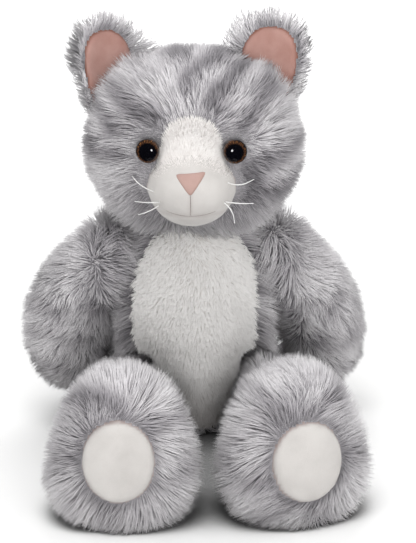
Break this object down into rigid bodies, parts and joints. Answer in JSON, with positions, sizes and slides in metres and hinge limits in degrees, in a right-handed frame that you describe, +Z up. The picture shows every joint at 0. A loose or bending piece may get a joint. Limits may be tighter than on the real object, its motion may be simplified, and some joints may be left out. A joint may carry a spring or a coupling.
{
  "type": "plush cat",
  "caption": "Sitting plush cat with tabby pile, a pale tummy and muzzle, pink ear linings, safety eyes, whiskers and oval sole pads; head, limbs, ears and tail swing on sewn seams.",
  "frame": {"origin": "middle of the flat seat under the torso", "axes": "+Z up, -Y the way the face and the soles look, +X to the cat's own left"},
  "size_m": [0.2327, 0.2821, 0.2897],
  "materials": {
    "grey_pile": "matte",
    "white_pile": "matte",
    "velour": "matte",
    "ear_pink": "matte",
    "nose_pink": "matte",
    "eye": "gloss",
    "washer_plastic": "satin",
    "stuffing": "matte",
    "pellet_bag": "matte",
    "thread": "matte",
    "whisker": "satin"
  },
  "bodies": {
    "torso": {"torso_cover": "grey_pile", "tummy_panel": "white_pile", "torso_filling": "stuffing", "seat_pellet_bag": "pellet_bag", "back_seam": "thread", "neck_seam": "thread", "left_shoulder_seam": "thread", "right_shoulder_seam": "thread", "left_hip_seam": "thread", "right_hip_seam": "thread", "tail_seam": "thread"},
    "head": {"head_cover": "grey_pile", "blaze_panel": "white_pile", "muzzle_cover": "velour", "chin_panel": "velour", "head_filling": "stuffing", "nose": "nose_pink", "mouth_stitch": "thread", "left_eye": "eye", "right_eye": "eye", "left_eye_washer": "washer_plastic", "right_eye_washer": "washer_plastic", "left_upper_whisker": "whisker", "left_middle_whisker": "whisker", "left_lower_whisker": "whisker", "right_upper_whisker": "whisker", "right_middle_whisker": "whisker", "right_lower_whisker": "whisker"},
    "left_ear": {"left_ear_back": "grey_pile", "left_ear_lining": "ear_pink"},
    "right_ear": {"right_ear_back": "grey_pile", "right_ear_lining": "ear_pink"},
    "left_arm": {"left_arm_cover": "grey_pile", "left_arm_filling": "stuffing"},
    "right_arm": {"right_arm_cover": "grey_pile", "right_arm_filling": "stuffing"},
    "left_leg": {"left_leg_cover": "grey_pile", "left_leg_filling": "stuffing", "left_sole_pad": "velour"},
    "right_leg": {"right_leg_cover": "grey_pile", "right_leg_filling": "stuffing", "right_sole_pad": "velour"},
    "tail": {"tail_cover": "grey_pile", "tail_filling": "stuffing"}
  },
  "joints": [
    {"name": "head_turn", "type": "hinge", "parent": "torso", "child": "head", "pos_m": [0, -0.004, 0.155], "axis": [0, 0, 1], "range_deg": [-60, 60], "stiffness_Nm_per_rad": 0.15},
    {"name": "left_ear_fold", "type": "hinge", "parent": "head", "child": "left_ear", "pos_m": [0.053, -0.011, 0.247], "axis": [0.682, -0.158, -0.714], "range_deg": [-12, 12], "stiffness_Nm_per_rad": 0.02},
    {"name": "right_ear_fold", "type": "hinge", "parent": "head", "child": "right_ear", "pos_m": [-0.062, -0.001, 0.239], "axis": [0.5871, 0.3811, 0.7142], "range_deg": [-12, 12], "stiffness_Nm_per_rad": 0.02},
    {"name": "left_arm_swing", "type": "hinge", "parent": "torso", "child": "left_arm", "pos_m": [0.043, 0.002, 0.134], "axis": [1, 0, 0], "range_deg": [-80, 40], "stiffness_Nm_per_rad": 0.12},
    {"name": "right_arm_swing", "type": "hinge", "parent": "torso", "child": "right_arm", "pos_m": [-0.043, 0.002, 0.134], "axis": [1, 0, 0], "range_deg": [-80, 40], "stiffness_Nm_per_rad": 0.12},
    {"name": "left_leg_swing", "type": "hinge", "parent": "torso", "child": "left_leg", "pos_m": [0.029, 0.002, 0.027], "axis": [1, 0, 0], "range_deg": [-10, 90], "stiffness_Nm_per_rad": 0.3},
    {"name": "right_leg_swing", "type": "hinge", "parent": "torso", "child": "right_leg", "pos_m": [-0.029, 0.002, 0.027], "axis": [1, 0, 0], "range_deg": [-10, 90], "stiffness_Nm_per_rad": 0.3},
    {"name": "tail_swing", "type": "hinge", "parent": "torso", "child": "tail", "pos_m": [0, 0.0525, 0.019], "axis": [1, 0, 0], "range_deg": [-15, 60], "stiffness_Nm_per_rad": 0.05}
  ]
}
